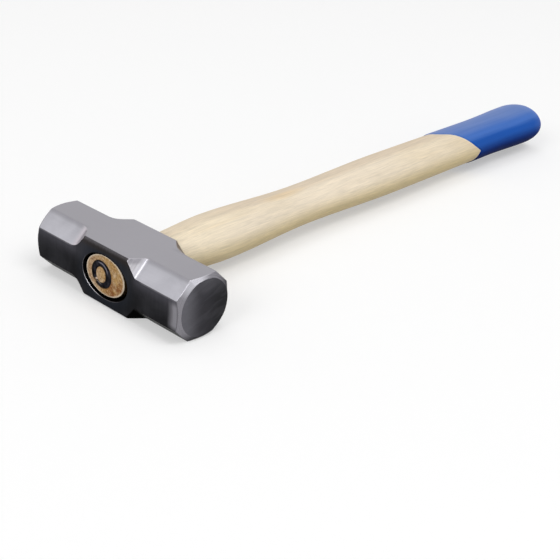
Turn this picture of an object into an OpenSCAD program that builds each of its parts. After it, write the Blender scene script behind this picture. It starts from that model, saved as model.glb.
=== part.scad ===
// Double-faced hand sledge hammer: an octagonal forged head on an oval wooden handle.
//
// Frame: the hammer lies on a cheek of its head. The origin is the middle of that cheek,
// under the centre of the eye. X runs along the head, Y along the handle towards the butt,
// and Z is up. The handle's axis is parallel to Y, half the head's width above the origin.

/* [Head] */
// Length of the head, from one striking face to the other
head_length = 130; // [112:1:160]
// Width of the head across its flats
head_width = 40; // [36:0.5:50]
// Leg of the 45 degree chamfers that make the ends octagonal
chamfer_leg = 10; // [6:0.5:12]
// Length of the full square block round the eye
block_length = 38; // [30:1:48]
// Length over which each chamfer runs out at the block
run_out = 8; // [5:0.5:14]
// Radius of the concave fillet at the foot of each run-out
run_out_fillet = 3; // [1:0.5:5]
// Radius of the block's long edges
block_edge = 1.5; // [0.5:0.25:3]

/* [Striking faces] */
// Diameter of the flat striking face
face_diameter = 37.6; // [30:0.2:39]
// Depth of the turned bevel where it meets the octagon's corners
bevel_depth = 2.5; // [1:0.25:5]
// Radius between the striking face and its bevel
face_edge = 0.8; // [0.2:0.1:1.5]

/* [Eye] */
// Play between the tenon and the narrow bore of the eye
eye_play = 0.1; // [0.05:0.05:0.3]
// How far each mouth of the eye flares past the bore, at the sides
mouth_flare = 3; // [1:0.25:4]
// How far each mouth of the eye flares past the bore, at the top and bottom
mouth_rise = 1.2; // [0.5:0.1:2.5]
// Depth of the flare from each mouth
flare_depth = 13; // [6:0.5:18]
// Leg of the small chamfer round each mouth
mouth_chamfer = 0.6; // [0.2:0.1:1.5]

/* [Handle sections] */
// Width of the tenon at its end, spread by the wedge
tenon_width = 35; // [30:0.5:37]
// Thickness of the tenon at its end
tenon_thick = 26.4; // [22:0.2:28]
// Width at the back of the eye
shoulder_width = 34; // [30:0.5:37]
// Thickness at the back of the eye
shoulder_thick = 25.6; // [22:0.2:28]
// Width of the swell behind the head
swell_width = 40.4; // [36:0.2:46]
// Thickness of the swell
swell_thick = 30.4; // [26:0.2:36]
// Width of the neck
neck_width = 34.2; // [28:0.2:38]
// Thickness of the neck
neck_thick = 25.8; // [21:0.2:30]
// Width where the palm takes hold
palm_width = 39.2; // [34:0.2:44]
// Thickness where the palm takes hold
palm_thick = 29; // [25:0.2:35]
// Width of the grip's waist
waist_width = 38.6; // [33:0.2:44]
// Thickness of the grip's waist
waist_thick = 28.6; // [25:0.2:35]
// Width of the flared butt
butt_width = 41; // [36:0.2:48]
// Thickness of the flared butt
butt_thick = 30.8; // [26:0.2:37]

/* [Handle lengths] */
// How far the tenon's end lies inside the front mouth of the eye
tenon_recess = 1; // [0:0.25:3]
// Length from the back of the eye to the swell
swell_run = 52; // [30:1:80]
// Length from the swell to the neck
neck_run = 80; // [50:1:120]
// Length from the neck to the palm
palm_run = 98; // [60:1:140]
// Length from the palm to the waist
waist_run = 125; // [80:1:180]
// Length from the waist to the butt's widest point
butt_run = 60; // [30:1:90]
// Length of the butt's domed end
dome_length = 15; // [6:1:20]
// How far the dome draws each side of the butt in
dome_drop = 6.5; // [3:0.5:11]

/* [Ring wedge] */
// Outside diameter of the ring wedge
wedge_diameter = 17.6; // [14:0.2:20]
// Depth of the ring wedge
wedge_depth = 16; // [10:0.5:22]
// Wall of the ring wedge at its driven end
wedge_wall = 2.6; // [1.6:0.1:3.5]
// Wall of the ring wedge at its leading edge
wedge_tip = 1; // [0.6:0.1:1.5]
// Width of the seam in the ring
wedge_seam = 1.2; // [0.6:0.1:2.5]
// Direction of the seam, counted from +X towards +Z
seam_angle = 230; // [0:5:355]
// How far the ring lies to the side of the tenon's centre
wedge_side = 3.7; // [0:0.1:4.5]
// How far the ring lies above the tenon's centre
wedge_up = 0.8; // [0:0.1:1.2]
// How far the ring is driven below the end grain
wedge_sink = 0.3; // [0:0.1:1.5]
// Play between the ring and its slot in the wood
wedge_play = 0.1; // [0.05:0.05:0.2]

/* [Grip coating] */
// Thickness of the paint coat
coat = 0.6; // [0.4:0.1:1.2]
// Length from the butt's end to the tip of the bare wood's V
coat_length = 96; // [60:1:160]
// Turn of the paint line across the handle, in degrees
dip_turn = 37; // [10:1:50]
// Tilt of each half of the paint line, in degrees
dip_tilt = 32; // [10:1:45]

/* [Hidden] */
$fn = 96;
// Sides of an oval section
SIDES = 48;
// Sections along one stretch of the handle
STRETCH_STEPS = 6;
// Steps round a rounded corner, a flare or the dome
ARC_STEPS = 6;
// How far a cutter reaches past what it cuts
SPARE = 1;

axis_z = head_width / 2;
eye_back = head_width / 2;
head_end = head_length / 2;
chamfer_flat = (head_width - chamfer_leg) / sqrt(2);
corner_reach = head_width / sqrt(2);

tenon_end = tenon_recess - eye_back;
swell_at = eye_back + swell_run;
neck_at = swell_at + neck_run;
palm_at = neck_at + palm_run;
waist_at = palm_at + waist_run;
butt_at = waist_at + butt_run;
handle_end = butt_at + dome_length;

// Places along the handle, each with the half-width and half-thickness of the wood there
STATIONS = [
    [tenon_end, [tenon_width, tenon_thick] / 2],
    [eye_back, [shoulder_width, shoulder_thick] / 2],
    [swell_at, [swell_width, swell_thick] / 2],
    [neck_at, [neck_width, neck_thick] / 2],
    [palm_at, [palm_width, palm_thick] / 2],
    [waist_at, [waist_width, waist_thick] / 2],
    [butt_at, [butt_width, butt_thick] / 2],
];

wedge_seat = tenon_end + wedge_sink;
wedge_end = wedge_seat + wedge_depth;
coat_tip = handle_end + coat - coat_length;
coat_side = palm_width / 2 + coat;
// The paint line reaches furthest towards the head on the side away from the V's tip
coat_start = coat_tip - 2 * coat_side * (tan(dip_turn) + tan(dip_tilt));

// Smooth step from 0 to 1
function ease(t) = t * t * (3 - 2 * t);

// Number of the stretch that holds a place along the handle
function stretch(y) = max([0, for (k = [0 : len(STATIONS) - 2]) if (y >= STATIONS[k][0]) k]);

// Half-width and half-thickness of the wood at a place along the handle
function section(y) =
    let (a = STATIONS[stretch(y)],
         b = STATIONS[stretch(y) + 1],
         t = min(1, max(0, (y - a[0]) / (b[0] - a[0]))))
    a[1] + (b[1] - a[1]) * ease(t);

// Rings [y, half sizes] of the wood from a place to the butt's end, grown outwards
function shaft_rings(from, grow) = concat(
    [[from, section(from) + [grow, grow]]],
    [for (i = [0 : len(STATIONS) - 2], k = [1 : STRETCH_STEPS])
        let (y = STATIONS[i][0] + (STATIONS[i + 1][0] - STATIONS[i][0]) * k / STRETCH_STEPS)
        if (y > from) [y, section(y) + [grow, grow]]],
    [for (k = [1 : ARC_STEPS])
        let (a = 90 * k / ARC_STEPS, drop = grow - dome_drop * (1 - cos(a)))
        [butt_at + (dome_length + grow) * sin(a), section(butt_at) + [drop, drop]]]
);

// Rings of one mouth of the eye, on the front (-1) or the back (1) of the head
function mouth_rings(end) = concat(
    [for (k = [0 : ARC_STEPS])
        let (t = k / ARC_STEPS, y = end * (eye_back - mouth_chamfer - flare_depth * (1 - t)))
        [y, section(y) + [eye_play, eye_play] + [mouth_flare, mouth_rise] * t * t]],
    [let (grow = eye_play + mouth_chamfer + SPARE, y = end * (eye_back + SPARE))
        [y, section(y) + [mouth_flare + grow, mouth_rise + grow]]]
);

// Solid through oval rings along Y, about the handle's axis
module oval_loft(rings) {
    last = len(rings) - 1;
    points = [for (ring = rings, k = [0 : SIDES - 1])
        let (a = 360 * k / SIDES)
        [ring[1][0] * cos(a), ring[0], axis_z + ring[1][1] * sin(a)]];
    skin = [for (i = [0 : last - 1], k = [0 : SIDES - 1])
        let (next = (k + 1) % SIDES, near = i * SIDES, far = near + SIDES)
        each [[near + k, near + next, far + k], [near + next, far + next, far + k]]];
    front = [for (k = [SIDES - 1 : -1 : 0]) k];
    back = [for (k = [0 : SIDES - 1]) last * SIDES + k];
    polyhedron(points, concat([front, back], skin), convexity = 6);
}

// Square with rounded corners
module rounded_square(width, radius) {
    inner = width - 2 * radius;
    square([width, inner], center = true);
    square([inner, width], center = true);
    for (x = [-1, 1], y = [-1, 1]) translate([x, y] * inner / 2) circle(radius);
}

// Cuts one octagon chamfer, from its run-out at the block to the end of the head
module chamfer_cut() {
    foot = block_length / 2 + run_out;
    slope = atan2(corner_reach - chamfer_flat, run_out);
    top = corner_reach + SPARE;
    centre = [foot + run_out_fillet * tan(slope / 2), chamfer_flat + run_out_fillet];
    fillet = [for (k = [0 : ARC_STEPS])
        let (a = 270 - slope * (1 - k / ARC_STEPS))
        centre + run_out_fillet * [cos(a), sin(a)]];
    linear_extrude(head_width, center = true) polygon(concat(
        [[block_length / 2 - SPARE / tan(slope), top]],
        fillet,
        [[head_end + SPARE, chamfer_flat], [head_end + SPARE, top]]
    ));
}

// Turned blank that bevels both ends of the bar
module turned_blank() {
    face = face_diameter / 2;
    corner = norm([head_width / 2, head_width / 2 - chamfer_leg]);
    slope = atan2(corner - face, bevel_depth);
    radius = corner_reach + SPARE;
    edge_centre = face - face_edge * tan((90 - slope) / 2);
    edge = [for (k = [0 : ARC_STEPS])
        let (a = 90 - (90 - slope) * k / ARC_STEPS)
        [edge_centre + face_edge * cos(a), head_end - face_edge * (1 - sin(a))]];
    outline = concat([[0, 0], [0, head_end]], edge, [[radius, head_end - (radius - face) / tan(slope)], [radius, 0]]);
    rotate([0, 90, 0]) for (end = [0, 1]) mirror([0, 0, end]) rotate_extrude() polygon(outline);
}

// Ring along Y about the wedge's axis, whose bore tapers from one wall to another
module tapered_ring(outer, wall, tip, from, to) {
    translate([-wedge_side, 0, axis_z + wedge_up]) rotate([-90, 0, 0]) rotate_extrude()
        polygon([[outer - wall, from], [outer, from], [outer, to], [outer - tip, to]]);
}

// Slot that the ring wedge cuts in the tenon, open at the end grain
module wedge_slot() {
    outer = wedge_diameter / 2 + wedge_play;
    wall = wedge_wall + 2 * wedge_play;
    tapered_ring(outer, wall, wall, tenon_end - SPARE, wedge_seat);
    tapered_ring(outer, wall, wedge_tip + 2 * wedge_play, wedge_seat, wedge_end + wedge_play);
}

// Everything on the head's side of both halves of the paint line
module bare_wood() {
    far = handle_end;
    intersection_for (side = [-1, 1])
        translate([coat_side, coat_tip, axis_z]) rotate([side * dip_tilt, 0, dip_turn])
            translate([-far, -far, -far]) cube([2 * far, far, 2 * far]);
}

module head() {
    color("slategray") difference() {
        translate([0, 0, axis_z]) difference() {
            intersection() {
                rotate([90, 0, 90]) linear_extrude(head_length, center = true)
                    rounded_square(head_width, block_edge);
                turned_blank();
            }
            for (corner = [0 : 3], end = [0, 1])
                mirror([end, 0, 0]) rotate([45 + 90 * corner, 0, 0]) chamfer_cut();
        }
        oval_loft(concat([for (k = [ARC_STEPS + 1 : -1 : 0]) mouth_rings(-1)[k]], mouth_rings(1)));
    }
}

module handle() {
    color("wheat") difference() {
        oval_loft(shaft_rings(tenon_end, 0));
        wedge_slot();
    }
}

module ring_wedge() {
    color("dimgray") difference() {
        tapered_ring(wedge_diameter / 2, wedge_wall, wedge_tip, wedge_seat, wedge_end);
        translate([-wedge_side, wedge_seat - SPARE, axis_z + wedge_up]) rotate([0, -seam_angle, 0])
            translate([0, 0, -wedge_seam / 2]) cube([wedge_diameter, wedge_depth + 2 * SPARE, wedge_seam]);
    }
}

module grip_coating() {
    color("royalblue") difference() {
        oval_loft(shaft_rings(coat_start, coat));
        oval_loft(shaft_rings(tenon_end, 0));
        bare_wood();
    }
}

head();
handle();
ring_wedge();
grip_coating();
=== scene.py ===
"""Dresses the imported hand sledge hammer: forged head, ash handle, ring wedge and dipped grip.

Lengths are in millimetres in the classes below and become metres in the meshes. X runs along the
head, Y along the handle towards the butt and Z is up, with the hammer lying on a cheek. A turn
is in degrees, from the first axis named towards the second.
"""

import logging
import math
from collections.abc import Callable, Sequence
from dataclasses import dataclass
from enum import Enum
from functools import reduce
from typing import Any

import bmesh
import bpy
from mathutils import Matrix, Vector


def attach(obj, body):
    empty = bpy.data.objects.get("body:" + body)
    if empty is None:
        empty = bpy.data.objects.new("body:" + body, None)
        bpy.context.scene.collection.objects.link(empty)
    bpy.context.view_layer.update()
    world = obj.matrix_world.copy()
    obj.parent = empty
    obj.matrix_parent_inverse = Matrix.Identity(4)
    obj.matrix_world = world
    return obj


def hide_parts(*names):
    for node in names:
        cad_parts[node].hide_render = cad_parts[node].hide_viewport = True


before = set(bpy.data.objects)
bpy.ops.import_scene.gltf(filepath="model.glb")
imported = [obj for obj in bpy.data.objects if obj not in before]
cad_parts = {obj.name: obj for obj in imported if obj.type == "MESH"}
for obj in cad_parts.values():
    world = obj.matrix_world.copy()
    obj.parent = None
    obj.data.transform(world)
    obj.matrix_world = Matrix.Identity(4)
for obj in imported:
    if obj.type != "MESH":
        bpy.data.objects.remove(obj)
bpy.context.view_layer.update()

LOG = logging.getLogger("hammer")
MM = 0.001
AXIS_HEIGHT = 20.0
PAINT_GAP = "paint_gap"  # attribute with the wood's distance to the paint's edge
MERGE_GAP, SLIVER = 0.002, 0.001  # vertices and edges this small are closed up

Pair = tuple[float, float]
Point = tuple[float, float, float]
Mesh = bmesh.types.BMesh
Ring = list[bmesh.types.BMVert]
Socket = bpy.types.NodeSocket
Value = Any  # a socket, or a constant for its default


class Tone(Enum):
    """Plain colours of the finishes, written as sRGB hex; some are painted light and shade, as
    noted where they are laid on.
    """

    CHEEK = "9C9AA0"
    CHEEK_DEEP = "98969C"
    CHEEK_END = "9A989E"
    # painted shade: darkens the creases and the top edge of the steeper facet
    CREASE = "8B898F"
    GROUND = "B8B7BE"
    GROUND_DEEP = "AFAEB5"
    GLINT = "D9D8DE"
    # painted light: the steeper facet's colour, and a line at its foot
    STEEP = "C4C2C8"
    # painted shade towards the steeper facet's top
    STEEP_TOP = "AFADB2"
    # painted reflection of the wood in the back run-outs
    STEEP_BACK = "8D827D"
    # painted light on the run-out towards -X
    RUN_OUT = "D0CAD0"
    # wear, and painted sheen on the bevel, the eye lip and the dark faces
    WORN = "86848A"
    # near-black, a painted reflection of a dark surround
    OXIDE = "2F2F32"
    # darker patches and the eye lip's base, over the painted dark
    OXIDE_DEEP = "212123"
    OXIDE_BLUE = "262A31"
    # painted light on the dark faces
    OXIDE_LIGHT = "45444A"
    OXIDE_BROWN = "38312C"
    STRUCK = "302F34"
    # painted light on the striking face
    STRUCK_LIGHT = "605F65"
    # painted shade on the striking face
    STRUCK_DEEP = "1D1D20"
    # painted shadow: near-black for the eye's bore and the chamfers' lower side
    BORE = "080808"
    WOOD = "E4D4B8"
    WOOD_PALE = "ECDEC8"
    WOOD_WARM = "DDBF8C"
    # painted shade on the -X side
    WOOD_TOP = "D8C6AE"
    # painted light on the low side
    WOOD_LOW = "E7D2A0"
    # painted shadow where the tenon sits in the eye
    WOOD_HIDDEN = "3A2A16"
    WOOD_DARK = "D4A562"
    # paler between 55 and 105 mm along the handle
    WOOD_FRESH = "FFF2D4"
    END_LEFT = "BF9E79"
    END_GRAIN = "BD9558"
    END_PALE = "DBC6A6"
    END_BROWN = "8A5422"
    # painted shadow in the crevices round the ring wedge
    SOOT = "2A1E13"
    WEDGE = "100F12"
    # lighter patches, and a painted highlight along the crest
    WEDGE_LIGHT = "7E7C88"
    # pale streak across the ring's lap
    SHEARED = "C4B4A4"
    PAINT = "1C56AF"
    # painted shade on the low side
    PAINT_DEEP = "052D7A"
    # deeper painted shade on the low side
    PAINT_NIGHT = "02184F"
    # painted sheen on the top
    PAINT_CHALK = "637FBA"
    # painted light towards the top
    PAINT_LIGHT = "436FBD"
    FLOOR = "FFFFFF"
    FLOOR_FILL = "BCBCBC"

    @property
    def linear(self) -> tuple[float, float, float, float]:
        """The colour in scene-linear values.

        Returns:
            Red, green, blue and an alpha of one.
        """
        parts = [int(self.value[k : k + 2], 16) / 255 for k in (0, 2, 4)]
        line = [p / 12.92 if p <= 0.04045 else ((p + 0.055) / 1.055) ** 2.4 for p in parts]
        return (line[0], line[1], line[2], 1.0)


class Zone(Enum):
    """Surfaces of the head that are finished apart."""

    CHEEK = 0
    CHAMFER = 1
    BEVEL = 2
    EYE_FACE = 3
    STRIKING_FACE = 4
    # the eye's bore, finished as painted shadow
    BORE = 5
    LIP = 6


def lerp(a: float, b: float, t: float) -> float:
    """The value a share t of the way from a to b."""
    return a + (b - a) * t


def clamp(t: float) -> float:
    """A number held between 0 and 1."""
    return min(1.0, max(0.0, t))


def ease(t: float) -> float:
    """Smooth step from 0 to 1, and level outside."""
    t = clamp(t)
    return t * t * (3 - 2 * t)


def soft_max(a: float, b: float, reach: float) -> float:
    """The larger of two numbers, rounded over where they cross.

    Args:
        a: First number.
        b: Second number.
        reach: How far from the crossing the rounding starts.

    Returns:
        The rounded maximum.
    """
    gap = max(reach - abs(a - b), 0.0) / reach
    return max(a, b) + gap * gap * reach / 4


def bend(
    start: Sequence[float], corner: Sequence[float], end: Sequence[float], steps: int
) -> list[Vector]:
    """Points that round a corner from start to end.

    Args:
        start: Where the rounding starts.
        corner: The sharp corner.
        end: Where the rounding ends.
        steps: Number of segments.

    Returns:
        The points, both ends among them.
    """
    a, b, c = Vector(start), Vector(corner), Vector(end)
    shares = [k / steps for k in range(steps + 1)]
    return [a * (1 - t) ** 2 + b * 2 * t * (1 - t) + c * t * t for t in shares]


# ---------------------------------------------------------------- meshes


def place_ring(ring: Ring, points: Sequence[Point]) -> Ring:
    """Puts each vertex of a ring at its point.

    Args:
        ring: Vertices to place.
        points: Their places.

    Returns:
        The same ring.
    """
    for vert, point in zip(ring, points):
        vert.co = Vector(point) * MM
    return ring


def ring_edges(bm: Mesh, ring: Ring) -> list[bmesh.types.BMEdge]:
    """The edges between a ring's neighbouring vertices."""
    return [bm.edges.get((vert, ring[k - 1])) for k, vert in enumerate(ring)]


def extend_ring(bm: Mesh, ring: Ring, points: Sequence[Point]) -> Ring:
    """Extrudes a ring into the next section of a loft.

    Args:
        bm: Mesh to add to.
        ring: The last section's vertices in order.
        points: Places of the next section's vertices.

    Returns:
        The new section's vertices in the same order.
    """
    made = bmesh.ops.extrude_edge_only(bm, edges=ring_edges(bm, ring))["geom"]
    fresh = {item for item in made if isinstance(item, bmesh.types.BMVert)}
    following = [
        next(edge.other_vert(vert) for edge in vert.link_edges if edge.other_vert(vert) in fresh)
        for vert in ring
    ]
    return place_ring(following, points)


def loft(sections: Sequence[Sequence[Point]]) -> Mesh:
    """A closed skin through sections that all have as many points.

    Args:
        sections: Points of each section.

    Returns:
        A new mesh whose faces point outwards.
    """
    bm = bmesh.new()
    made = bmesh.ops.create_circle(bm, cap_ends=False, segments=len(sections[0]), radius=1.0)
    ring = sorted(made["verts"], key=lambda v: math.atan2(v.co.y, v.co.x) % math.tau)
    first = place_ring(ring, sections[0])
    for points in sections[1:]:
        ring = extend_ring(bm, ring, points)
    for end in (first, ring):
        bmesh.ops.contextual_create(bm, geom=ring_edges(bm, end))
    bmesh.ops.recalc_face_normals(bm, faces=bm.faces)
    return bm


def make_object(name: str, bm: Mesh) -> bpy.types.Object:
    """Turns a bmesh into an object at the origin.

    Args:
        name: Name of the piece.
        bm: Its mesh, which is freed.

    Returns:
        The new object, linked to the scene.
    """
    mesh = bpy.data.meshes.new(name)
    bm.to_mesh(mesh)
    bm.free()
    made = bpy.data.objects.new(name, mesh)
    bpy.context.scene.collection.objects.link(made)
    return made


def carve(target: bpy.types.Object, bm: Mesh) -> None:
    """Cuts a closed shape out of an object and keeps the result as its mesh.

    Args:
        target: Object to cut.
        bm: Mesh of the cutter, which is freed.
    """
    cutter = make_object("cutter", bm)
    cut = target.modifiers.new("carve", "BOOLEAN")
    cut.operation, cut.solver, cut.object = "DIFFERENCE", "EXACT", cutter
    seen = target.evaluated_get(bpy.context.evaluated_depsgraph_get())
    result = bpy.data.meshes.new_from_object(seen)
    target.modifiers.remove(cut)
    spent = (target.data, cutter.data)
    target.data = result
    result.name = spent[0].name
    bpy.data.objects.remove(cutter)
    for mesh in spent:
        bpy.data.meshes.remove(mesh)


def tidy_mesh(
    piece: bpy.types.Object, angle: float, zone: Callable[[bmesh.types.BMFace], int] | None = None
) -> None:
    """Merges doubles, sets crisp edges and deals faces out to material slots.

    Args:
        piece: Object to finish.
        angle: Edges sharper than this many degrees stay crisp.
        zone: Gives the material slot of a face, or None for the first slot.
    """
    bm = bmesh.new()
    bm.from_mesh(piece.data)
    bmesh.ops.remove_doubles(bm, verts=bm.verts, dist=MERGE_GAP * MM)
    bmesh.ops.dissolve_degenerate(bm, edges=bm.edges, dist=SLIVER * MM)
    bmesh.ops.recalc_face_normals(bm, faces=bm.faces)
    for edge in bm.edges:
        edge.smooth = len(edge.link_faces) == 2 and edge.calc_face_angle(0.0) < math.radians(angle)
    bm.normal_update()
    for face in bm.faces:
        face.smooth = True
        if zone:
            face.material_index = zone(face)
    bm.to_mesh(piece.data)
    bm.free()


def level_normals(piece: bpy.types.Object) -> None:
    """Lets a piece's large faces set the shading of the small roundings beside them."""
    weigh = piece.modifiers.new("level_normals", "WEIGHTED_NORMAL")
    weigh.keep_sharp, weigh.weight = True, 100


# ---------------------------------------------------------------- shader nodes


class Graph:
    """Adds nodes to one shader tree, and takes sockets or constants alike."""

    column_width = 180

    def __init__(self, tree: bpy.types.NodeTree) -> None:
        """Starts on an empty tree."""
        self.tree = tree

    def node(
        self, kind: str, inputs: dict[Any, Value] | None = None, **settings: Any
    ) -> bpy.types.Node:
        """Adds a node.

        Args:
            kind: Blender's name of the node type.
            inputs: Sockets or constants by input name or index.
            **settings: Properties of the node.

        Returns:
            The new node.
        """
        made = self.tree.nodes.new(kind)
        made.location.x = (len(self.tree.nodes) - 1) * self.column_width
        for key, value in settings.items():
            setattr(made, key, value)
        for key, value in (inputs or {}).items():
            self.feed(made.inputs[key], value)
        return made

    def feed(self, socket: Socket, value: Value) -> None:
        """Links a socket to another one, or sets its constant.

        Args:
            socket: Socket to feed.
            value: Another socket, a tone, or a plain constant.
        """
        if isinstance(value, Socket):
            self.tree.links.new(value, socket)
        else:
            socket.default_value = value.linear if isinstance(value, Tone) else value

    def maths(self, operation: str, *values: Value, **settings: Any) -> Socket:
        """The result of a Math node."""
        inputs = dict(enumerate(values))
        return self.node("ShaderNodeMath", inputs, operation=operation, **settings).outputs[0]

    def vector_maths(self, operation: str, *values: Value) -> Socket:
        """The result of a Vector Math node."""
        made = self.node("ShaderNodeVectorMath", dict(enumerate(values)), operation=operation)
        return made.outputs["Value" if operation in ("LENGTH", "DOT_PRODUCT") else "Vector"]

    def both(self, *shares: Value) -> Socket:
        """The product of two shares."""
        return self.maths("MULTIPLY", *shares)

    def step(
        self, value: Value, low: float, high: float, out_low: float = 0.0, out_high: float = 1.0
    ) -> Socket:
        """A smooth ramp of a value, level outside it.

        Args:
            value: What the ramp follows.
            low: Where it starts, which may be above high.
            high: Where it ends.
            out_low: Its result at low.
            out_high: Its result at high.

        Returns:
            The ramp's result.
        """
        names = ("Value", "From Min", "From Max", "To Min", "To Max")
        inputs = dict(zip(names, (value, low, high, out_low, out_high)))
        made = self.node("ShaderNodeMapRange", inputs, interpolation_type="SMOOTHSTEP")
        return made.outputs["Result"]

    def blend(self, share: Value, first: Value, second: Value) -> Socket:
        """A mix of two colours.

        Args:
            share: Share of the second colour.
            first: The first colour.
            second: The second colour.

        Returns:
            The mixed colour.
        """
        made = self.node("ShaderNodeMix", data_type="RGBA", blend_type="MIX")
        sockets = {socket.identifier: socket for socket in (*made.inputs, *made.outputs)}
        for name, value in (("Factor_Float", share), ("A_Color", first), ("B_Color", second)):
            self.feed(sockets[name], value)
        return sockets["Result_Color"]

    def noise(self, vector: Value, scale: Value, **looks: float) -> Socket:
        """Noise about one half on average.

        Args:
            vector: Where it is read.
            scale: How fine it is.
            **looks: Its Detail, Roughness and Distortion, where they aren't Blender's 2, 0.5 and 0.

        Returns:
            The noise's value.
        """
        inputs = {"Vector": vector, "Scale": scale, **looks}
        return self.node("ShaderNodeTexNoise", inputs).outputs["Fac"]

    def seen(self) -> Socket:
        """One where the camera, a mirror or a glass looks at the surface.

        Returns:
            The mask.
        """
        rays = self.node("ShaderNodeLightPath").outputs
        first = self.maths("MAXIMUM", rays["Is Camera Ray"], rays["Is Glossy Ray"])
        return self.maths("MAXIMUM", first, rays["Is Transmission Ray"])


class Effects:
    """Node groups that several finishes share, each built once."""

    fineness = 3.7  # how much finer the fine streaks are
    crease, crease_reach, shank = 10.4, 2.2, (24.0, 30.0)

    def __init__(self) -> None:
        """Builds the groups."""
        self.streaks, self.mottle = self._streaks(), self._mottle()
        self.tint, self.creases = self._tint(), self._creases()

    @staticmethod
    def _start(name: str, outputs: Sequence[str], **inputs: Any) -> tuple[Graph, Any, Any]:
        """Starts a group.

        Args:
            name: Name of the group.
            outputs: Names of its outputs; Color is a colour and the others are values.
            **inputs: Defaults by name, where three numbers are a vector and four a colour.

        Returns:
            The graph, and the sockets that the group is given and that it puts out.
        """
        tree = bpy.data.node_groups.new(name, "ShaderNodeTree")
        for label, default in inputs.items():
            size = len(default) if isinstance(default, tuple) else 1
            kind = {1: "NodeSocketFloat", 3: "NodeSocketVector", 4: "NodeSocketColor"}[size]
            socket = tree.interface.new_socket(name=label, in_out="INPUT", socket_type=kind)
            socket.default_value = default
        for label in outputs:
            kind = "NodeSocketColor" if label == "Color" else "NodeSocketFloat"
            tree.interface.new_socket(name=label, in_out="OUTPUT", socket_type=kind)
        graph = Graph(tree)
        return graph, graph.node("NodeGroupInput").outputs, graph.node("NodeGroupOutput").inputs

    def _streaks(self) -> bpy.types.NodeTree:
        """Long fine lines along one direction, as a brushed surface or straight grain has.

        Returns:
            The group.
        """
        graph, given, out = self._start(
            "streaks", ("Broad", "Fine"), Vector=(0.0, 0.0, 0.0), Stretch=(1.0, 1.0, 1.0)
        )
        drawn = graph.vector_maths("MULTIPLY", given["Vector"], given["Stretch"])
        graph.feed(out["Broad"], graph.noise(drawn, 1.0, Detail=3.0, Roughness=0.55))
        graph.feed(out["Fine"], graph.noise(drawn, self.fineness, Roughness=0.6))
        return graph.tree

    def _mottle(self) -> bpy.types.NodeTree:
        """Soft uneven patches, as handling, heat or oil leave.

        Returns:
            The group.
        """
        graph, given, out = self._start(
            "mottle", ("Mask",), Vector=(0.0, 0.0, 0.0), Scale=60.0, Low=0.35, High=0.65
        )
        looks = {"Detail": 4.0, "Roughness": 0.55, "Distortion": 0.4}
        patches = graph.noise(given["Vector"], given["Scale"], **looks)
        graph.feed(out["Mask"], graph.step(patches, given["Low"], given["High"]))
        return graph.tree

    def _tint(self) -> bpy.types.NodeTree:
        """A colour lightened or darkened by a value round one half.

        Returns:
            The group.
        """
        graph, given, out = self._start(
            "tint", ("Color",), Color=(0.5, 0.5, 0.5, 1.0), Value=0.5, Amount=0.2
        )
        swing = graph.maths("SUBTRACT", given["Value"], 0.5)
        scaled = graph.vector_maths("SCALE", given["Color"])
        gain = graph.maths("MULTIPLY_ADD", swing, given["Amount"], 1.0)
        graph.feed(scaled.node.inputs["Scale"], gain)
        graph.feed(out["Color"], scaled)
        return graph.tree

    def _creases(self) -> bpy.types.NodeTree:
        """One along the lines where cheek and chamfer meet, fading to both sides; painted shade is
        laid by it.

        Returns:
            The group.
        """
        graph, given, out = self._start("crease", ("Mask",), Along=0.0, Across=0.0)
        across = graph.maths("SUBTRACT", graph.maths("ABSOLUTE", given["Across"]), self.crease)
        near = graph.step(graph.maths("ABSOLUTE", across), self.crease_reach, 0.0)
        shank = graph.step(graph.maths("ABSOLUTE", given["Along"]), *self.shank)
        graph.feed(out["Mask"], graph.both(near, shank))
        return graph.tree


@dataclass(frozen=True)
class Ramp:
    """A share that follows a measure: where it starts, where it is full, and its size there.

    Least is its size where it starts. Where at is given, the measure is the distance from it.
    """

    measure: str
    start: float
    full: float
    most: float = 1.0
    least: float = 0.0
    at: float | None = None


@dataclass(frozen=True)
class Tint:
    """Lightens and darkens the colour so far by a share round one half."""

    share: Ramp | str
    amount: float


Share = Ramp | str | float  # a ramp, the name of a measure, or a constant
Product = tuple[Share, ...]
# Tints, and tuples of a tone and the shares whose product it is laid on by.
Layers = tuple[Any, ...]
# Measures by name, each the largest of products.
Masks = tuple[tuple[str, tuple[Product, ...]], ...]


def window(measure: str, low: float, high: float, soft: float) -> tuple[Ramp, Ramp]:
    """Ramps whose product is one between two limits, fading over a soft stretch across each."""
    reach = soft / 2
    return Ramp(measure, low - reach, low + reach), Ramp(measure, high + reach, high - reach)


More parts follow.
